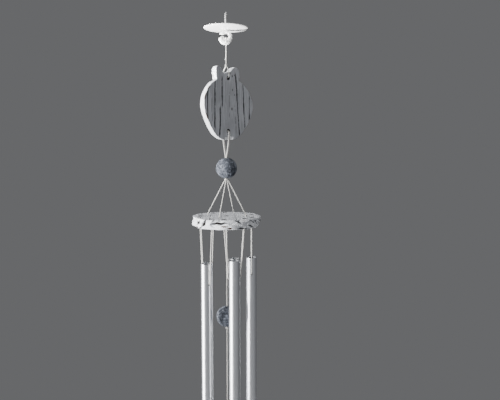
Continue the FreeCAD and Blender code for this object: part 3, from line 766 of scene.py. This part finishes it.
def carvePlaque():
    shape = plaqueShape
    piece, points, normals = evenBoard("carvedPlaque", "plaque", "plaque", "board_wood", shape["grain"])
    low, high = (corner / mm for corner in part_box("plaque"))
    x, y, z = points.T
    tall, half = high.z - low.z, (high.y - low.y) / 2
    up = (z - low.z) / tall
    facing = normals[:, 1]
    isFront = facing < 0
    holeGap = np.min([np.hypot(x - holeX, z - holeZ) for holeX, holeZ in shape["holes"]], axis=0)
    awayFromHoles = holeGap > shape["holeClear"]

    # hewn edge: points near it go in with it, less and less towards the middle of the face
    isEdge = (np.abs(facing) < 0.45) & awayFromHoles
    along = np.arctan2(z - low.z - shape["middle"] * tall, x) * shape["outwards"]
    cut = hewn(7, along, y, 2 * math.pi * shape["outwards"], **shape["edge"])
    nearest, gap = edgeNeighbours(points, isEdge)
    inward = -normals * [1, 0, 1]
    inward /= np.maximum(np.linalg.norm(inward, axis=1), 1e-6)[:, None]
    moved = points + inward[nearest] * (cut[nearest] * (1 - smoothStep(gap, 0, shape["fade"])))[:, None]
    worn = shape["worn"]
    wornBy = worn["from"] + worn["spread"] * wander(3, along * 0.4)
    roundedOff = np.clip(1 - gap / worn["reach"], 0, 1) ** 2 * wornBy

    # cracks, small knots and the raised grain
    face = smoothStep(np.abs(facing), 0.5, 0.9)
    frontDepth, frontDark = cutGrooves(shape["front"], x, up, 11)
    backDepth, backDark = cutGrooves(shape["back"], x, up, 31)
    for across, level, wide in shape["smallKnots"]:
        spot = np.exp(-(((x - across) / wide) ** 2 + ((up - level) * tall / (wide * 1.7)) ** 2))
        frontDepth = frontDepth + 0.35 * spot
        frontDark = np.maximum(frontDark, 0.75 * smoothStep(spot, 0.35, 0.85))
    grain = np.clip(0.12 + 0.07 * wander(51, x * 2.6, up * 3) + 0.10 * wander(52, x * 0.9, up * 2), 0, 0.4)
    sink = (np.where(isFront, frontDepth, backDepth) + grain + roundedOff * awayFromHoles) * face
    moved[:, 1] += np.where(isFront, sink, -sink)

    # the chip at the foot of the front, cut in and given the rim's pale tone as a painted highlight
    chip = shape["footChip"]
    bite = np.clip(1 - np.abs(x - chip["across"]) / chip["half"], 0, 1) ** 0.5
    bite *= np.clip(1 - (z - low.z) / chip["tall"], 0, 1) * smoothStep(-y, -1, half)
    moved[:, 1] += bite * chip["deep"]
    chipHighlight = smoothStep(bite, 0.05, 0.25)

    arris = arrisOf(facing) * awayFromHoles
    bare = np.zeros(len(x))
    for level, reach in shape["stripped"]:
        near = np.exp(-(((up - level) * tall / reach) ** 2)) * np.exp(-((gap / shape["strippedWide"]) ** 2))
        onLeft = (x < shape["strippedFrom"]) * isFront * smoothStep(-y, 0.25 * half, 0.95 * half)
        bare = np.maximum(bare, near * onLeft)
    # painted shade down the walls of the two holes
    holeShade = (holeGap < shape["mouth"]) * (np.abs(facing) < 0.9) * 0.92
    groove = np.maximum(np.where(isFront, frontDark, backDark) * face * (1 - chipHighlight), holeShade)
    # the chip takes the rim's tone as a painted highlight
    rim = np.maximum(1 - smoothStep(np.abs(facing), 0.35, 0.75), chipHighlight) * awayFromHoles
    finishBoard(piece, moved, groove=groove, rim=rim, arris=arris, bare=bare)
    wear(finishes["plaque"], piece)


carvePlaque()
print("plaque carved")

# Crown board: a hewn rim with open cracks, and fine cracks across its top and underside.
# Rim cracks: turn, height above the middle, length, width (mm), slope (degrees) and depth (mm).
crownShape = {
    "grain": 0.65 * mm,
    "rim": {"chipLong": 21, "chipTall": 8, "tilt": 0.15, "deepest": 3.4},
    "rimCracks": [(-93, 0.8, 15, 4.8, 32, 2.6), (-79.5, -0.6, 25, 6.2, 43, 3.6), (-49, 2.0, 28, 4.6, 3, 4.0),
                  (-50, 5.4, 9, 1.8, 0, 0.9), (-18, 4.8, 14, 2.6, -22, 2.0), (-9, -5.6, 17, 3.0, -5, 2.2),
                  (7, -2.8, 12, 2.6, -14, 1.8), (12, 3.4, 18, 1.9, -24, 1.4), (27, 0.8, 16, 1.9, -30, 1.5),
                  (46, 4.8, 24, 3.2, 4, 2.8), (50, 0.2, 16, 2.2, -26, 1.5), (72, 0.5, 18, 2.4, 25, 1.8),
                  (104, -1.5, 15, 2.0, -30, 1.3), (131, 2.0, 22, 2.8, 12, 2.0), (160, -1.0, 15, 2.2, 38, 1.6),
                  (192, 0.6, 20, 2.8, -18, 2.0), (221, 2.4, 14, 1.8, 30, 1.2), (243, -2.0, 18, 2.4, -8, 1.6)],
    # stripped patches on the rim: turn, height, half length, half height (mm)
    "stripped": [(-40, -1.9, 7.0, 1.1), (-31, -4.6, 5.0, 1.3), (-98, -6.0, 5.0, 1.4),
                 (44, 6.0, 6.0, 1.0), (118, 1.0, 6.0, 2.0), (205, -3.0, 7.0, 1.8)],
    "top": [(-31, -30, 1.0, 0.5, 0.2, 0.75), (-12, -14, 1.2, 0.6, 0.05, 0.6), (8, 6, 0.9, 0.4, 0.3, 0.95),
            (22, 25, 1.1, 0.6, 0.1, 0.8), (38, 37, 1.0, 0.5, 0.25, 0.7)],
    "grainTurn": 54.0,
    "underCut": 1.0, "deepest": 5.6, "fade": 7.2,
    "rimBand": 4, "solidRim": 6, "mouth": 4.0,
}


def boreSpots():
    # Where the tube strands and the clapper line come up through the board.
    return [(x, y) for x, y, _ in sunkSpots()] + [(0, 0)]


def carveCrown():
    shape = crownShape
    piece, points, normals = evenBoard("hewnCrown", "crown_disc", "crown", "board_wood", shape["grain"])
    low, high = (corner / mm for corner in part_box("crown_disc"))
    x, y, z = points.T
    reach = (high.x - low.x) / 2
    girth = 2 * math.pi * reach
    level = z - (low.z + high.z) / 2
    out = np.hypot(x, y)
    turn = np.arctan2(x, -y)
    along = turn * reach
    facing = normals[:, 2]
    byRim = out > reach - shape["rimBand"]

    def aside(where):
        return (along - math.radians(where) * reach + girth / 2) % girth - girth / 2

    # hewn flats, a foot cut back a little further, and a wavering outline
    cut = hewn(23, along, level, girth, **shape["rim"])
    cut = cut + shape["underCut"] * smoothStep(-level, 1, 7) * (0.6 + 0.4 * wander(5, turn * 3))
    cut = cut + 0.25 + 0.25 * wander(9, np.sin(turn) * 3, np.cos(turn) * 3)
    crackMark, bare = np.zeros(len(x)), np.zeros(len(x))
    for where, height, long, wide, slope, deep in shape["rimCracks"]:
        across, rise, lean = aside(where), level - height, math.radians(slope)
        run = across * math.cos(lean) + rise * math.sin(lean)
        off = rise * math.cos(lean) - across * math.sin(lean) + 0.5 * np.sin(run * 0.5)
        taper = np.clip(1 - (2 * run / long) ** 2, 1e-3, 1)
        near = np.clip(1 - np.abs(off) / (wide / 2 * taper), 0, 1) * (taper > 0.01) * byRim
        cut = cut + deep * near**0.8
        crackMark = np.maximum(crackMark, smoothStep(near, 0.05, 0.4))
    for where, height, halfLong, halfTall in shape["stripped"]:
        patch = np.exp(-((aside(where) / halfLong) ** 2) - ((level - height) / halfTall) ** 2)
        bare = np.maximum(bare, patch * byRim)
    cut = np.clip(cut, 0, shape["deepest"])
    moved = points.copy()
    cut = cut * (1 - smoothStep(reach - out, 0, shape["fade"]))
    moved[:, :2] *= ((out - cut) / np.maximum(out, 1e-6))[:, None]

    # top and underside: fine cracks with the grain, and a softly worn edge
    grainWay = math.radians(shape["grainTurn"])
    across = -x * math.sin(grainWay) + y * math.cos(grainWay)
    run = (x * math.cos(grainWay) + y * math.sin(grainWay)) / (2 * reach) + 0.5
    depth, lines = cutGrooves(shape["top"], across, run, 61)
    face = smoothStep(np.abs(facing), 0.6, 0.95)
    relief = 0.12 + 0.08 * wander(71, across * 2.2, run * 3) + 0.12 * wander(72, across * 0.5, run * 2)
    worn = np.clip(1 - (reach - out) / 3.5, 0, 1) ** 2 * (0.6 + 0.5 * wander(73, turn * 5))
    moved[:, 2] -= np.sign(facing) * (depth + np.clip(relief, 0, 0.4) + worn) * face
    rim = (1 - smoothStep(np.abs(facing), 0.35, 0.8)) * byRim
    # painted shade: dark down the bores and in a ring round each bore's mouth on the faces
    mouths = np.min([np.hypot(x - holeX, y - holeY) for holeX, holeY in boreSpots()], axis=0)
    boreShade = ((np.abs(facing) < 0.8) | (mouths < shape["mouth"])) & (out < reach - shape["solidRim"])
    groove = np.maximum.reduce([crackMark * (np.abs(facing) < 0.9), lines * face * 0.8, boreShade * 0.95])
    arris = arrisOf(facing) * byRim
    finishBoard(piece, moved, groove=groove, rim=rim, arris=arris, bare=bare)
    wear(finishes["crown"], piece)


carveCrown()
print("crown board hewn")


# Balls: turned round, then dented and pitted all over, with the bore's mouths eased.
ballShape = {
    "grain": 0.5 * mm, "dent": 0.22, "roughness": 0.08, "pits": 60, "pitWide": 1.5, "pitDeep": 0.35,
    "skin": 0.6, "mouthWide": 1.6, "mouthDeep": 0.8,
}


def dentBall(name, node, body, seed, boreReach):
    shape = ballShape
    piece, points, _ = evenBoard(name, node, body, "mottled_ball", shape["grain"])
    low, high = (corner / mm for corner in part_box(node))
    centre = np.array((0, 0, (low.z + high.z) / 2))
    spoke = points - centre
    far = np.linalg.norm(spoke, axis=1)
    skin = far > (high.x - low.x) / 2 - shape["skin"]
    unit = spoke / far[:, None]
    chance = random.Random(seed)
    sink = shape["dent"] * (1 + wander(seed, *(unit.T * 5))) / 2
    sink = sink + shape["roughness"] * (1 + wander(seed + 1, *(unit.T * 17)))
    pit = np.zeros(len(far))
    for _ in range(shape["pits"]):
        where = np.array([chance.gauss(0, 1) for _ in range(3)])
        where /= np.linalg.norm(where)
        wide = shape["pitWide"] * chance.uniform(0.4, 1)
        gap = np.linalg.norm(unit - where, axis=1) * far.max() / wide
        pit = np.maximum(pit, np.exp(-(gap**2)) * chance.uniform(0.4, 1))
    sink = sink + shape["pitDeep"] * pit
    fromBore = np.hypot(points[:, 0], points[:, 1]) - boreReach
    mouth = np.clip(1 - fromBore / shape["mouthWide"], 0, 1) ** 2 * shape["mouthDeep"]
    moved = points - unit * (np.where(skin, sink + mouth, 0))[:, None]
    # the bore's walls are marked as full pit, which paints shade down the bore
    finishBoard(piece, moved, pit=np.where(skin, pit, 1))
    wear(finishes["ball"], piece)


dentBall("mottledBead", "bead", "crown", 3, 2.4)
dentBall("clapperBall", "clapper_ball", "clapper", 8, 1.1)
print("bead and clapper made")

# Sail: a small tag in the plaque's manner.
sailShape = {
    "grain": 0.55 * mm,
    "cracks": [(-12, -14, 1.5, 0.8, 0.08, 0.9), (-3, -1.5, 1.0, 0.5, 0.25, 0.75),
               (8, 10, 1.7, 0.9, 0.05, 0.92), (17, 17.5, 1.2, 0.6, 0.25, 0.7)],
    "edge": {"chipLong": 9, "chipTall": 4, "tilt": 0.09, "deepest": 1.0},
    "outwards": 28, "holeDown": 8, "holeClear": 4, "mouth": 3.1,
}


def carveSail():
    shape = sailShape
    piece, points, normals = evenBoard("carvedSail", "wind_sail", "sail", "board_wood", shape["grain"])
    low, high = (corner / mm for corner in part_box("wind_sail"))
    x, y, z = points.T
    up = (z - low.z) / (high.z - low.z)
    facing = normals[:, 1]
    holeGap = np.hypot(x, z - (high.z - shape["holeDown"]))
    awayFromHole = holeGap > shape["holeClear"]
    edge = (np.abs(facing) < 0.5) & awayFromHole
    along = np.arctan2(z - (low.z + high.z) / 2, x) * shape["outwards"]
    cut = hewn(17, along, y, 2 * math.pi * shape["outwards"], **shape["edge"]) * edge
    moved = points - normals * [1, 0, 1] * cut[:, None]
    depth, dark = cutGrooves(shape["cracks"], x, up, 81)
    face = smoothStep(np.abs(facing), 0.5, 0.9)
    relief = np.clip(0.12 + 0.1 * wander(91, x * 1.4, up * 3), 0, 0.4)
    moved[:, 1] -= np.sign(facing) * (depth + relief) * face
    # painted shade down the walls of the hanging hole
    dark = np.maximum(dark * face, (holeGap < shape["mouth"]) * (np.abs(facing) < 0.9) * 0.92)
    rim = (1 - smoothStep(np.abs(facing), 0.35, 0.75)) * awayFromHole
    finishBoard(piece, moved, groove=dark, rim=rim, arris=arrisOf(facing) * awayFromHole)
    wear(finishes["plaque"], piece)


carveSail()
print("sail carved")

for number in tubeHang:
    for slot in nodes[f"chime_tube_{number}"].material_slots:
        slot.material = finishes["tube"]
print("tubes polished")

# Light: a tall window to the left, soft light from above, and a plain grey room, paler in front.
lights = {
    "window": {"turn": -108.5, "away": 2.0, "height": -0.35, "size": (1.45, 2.6), "power": 205},
    "above": {"height": 1.3, "size": (1.6, 1.6), "power": 14},
    "room": {"behind": (0.138, 0.140, 0.145), "ahead": (0.315, 0.32, 0.335), "turn": -50.0, "down": 0.6,
             "fade": (-0.35, 0.85)},
    "bounce": {"turn": -118.0, "away": 0.42, "height": -0.33, "size": (0.08, 0.08), "spread": 16.0, "power": 0.26},
    "floor": {"below": 0.07, "reach": 420, "thick": 12, "lip": (3, 1.2), "steps": 96, "tone": (0.78, 0.78, 0.77)},
}


def areaLight(name, place, aim, size, power):
    light = bpy.data.lights.new(name, "AREA")
    light.shape, light.energy = "RECTANGLE", power
    light.size, light.size_y = size
    lamp = bpy.data.objects.new(name, light)
    lamp.location = place
    lamp.rotation_euler = (Vector(place) - Vector(aim)).to_track_quat("Z", "Y").to_euler()
    scene.collection.objects.link(lamp)
    return lamp


def lightRoom():
    room = lights["room"]
    scene.world = bpy.data.worlds.new("room")
    nodes = Nodes(scene.world)
    palest = (turned(room["turn"]) - Vector((0, 0, room["down"]))).normalized()
    way = nodes.add("TexCoord", {}, {}, "Generated")
    towards = nodes.add("VectorMath", {"operation": "DOT_PRODUCT"}, {0: way, 1: palest}, "Value")
    tone = nodes.blend(nodes.above(towards, *room["fade"]), room["behind"], room["ahead"])
    nodes.set(nodes.tree.nodes["Background"].inputs["Color"], tone)


def layFloor():
    floor = lights["floor"]
    reach, (lipIn, lipDown), thick, middle = floor["reach"], floor["lip"], floor["thick"], 0.01
    profile = [(middle, 0), (reach - lipIn, 0), (reach, -lipDown), (reach, -thick), (middle, -thick)]
    ground = bpy.data.objects.new("floor", spin(profile, floor["steps"]))
    ground.location.z = boxAtLoad[0].z - floor["below"]
    scene.collection.objects.link(ground)
    ground.data.materials.append(Finish("floorPaint", Base_Color=floor["tone"], Roughness=0.6).material)


def lightStage():
    window, above = lights["window"], lights["above"]
    middle = Vector((0, 0, window["height"]))
    areaLight("window", turned(window["turn"]) * window["away"] + middle, middle, window["size"], window["power"])
    areaLight("above", (0, 0, above["height"]), (0, 0, 0), above["size"], above["power"])
    bounce = lights["bounce"]  # light thrown up on the cover plate and the hook
    under = turned(bounce["turn"]) * bounce["away"] + Vector((0, 0, bounce["height"]))
    lamp = areaLight("bounce", under, (0, 0, 0), bounce["size"], bounce["power"])
    lamp.data.spread = math.radians(bounce["spread"])
    lightRoom()
    layFloor()


lightStage()
print("stage lit")
